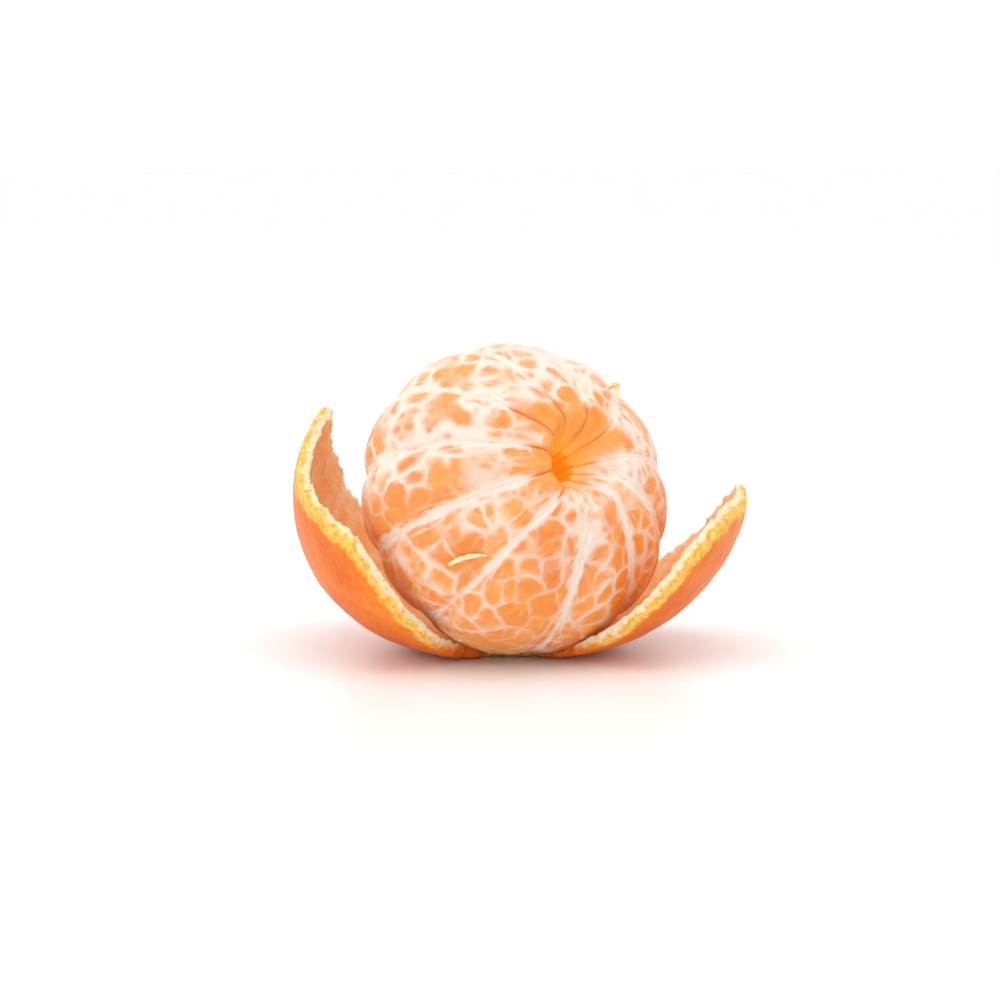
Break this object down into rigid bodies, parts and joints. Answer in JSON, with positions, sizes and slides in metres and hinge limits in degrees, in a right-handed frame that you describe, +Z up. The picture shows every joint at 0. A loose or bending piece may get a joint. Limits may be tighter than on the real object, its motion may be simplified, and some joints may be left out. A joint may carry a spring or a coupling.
{
  "type": "peeled mandarin",
  "caption": "Peeled mandarin whose segments stand together round an open core, resting in its own torn-open peel.",
  "frame": {"origin": "middle of the peel's flat resting spot, on the surface it stands on", "axes": "+Z up; -Y is the front, where the peel is open and the eye of the fruit shows; +X to the right seen from the front, along the longest side of the peel"},
  "size_m": [0.0868, 0.0761, 0.0583],
  "materials": {
    "peel": "satin, pored outside and matt white inside",
    "segment_membrane": "moist satin membrane with white pith fibres"
  },
  "bodies": {
    "root": {"peel": "peel", "segment_01": "segment_membrane", "segment_02": "segment_membrane", "segment_03": "segment_membrane", "segment_04": "segment_membrane", "segment_05": "segment_membrane", "segment_06": "segment_membrane", "segment_07": "segment_membrane", "segment_08": "segment_membrane", "segment_09": "segment_membrane", "segment_10": "segment_membrane", "segment_11": "segment_membrane"}
  },
  "joints": []
}
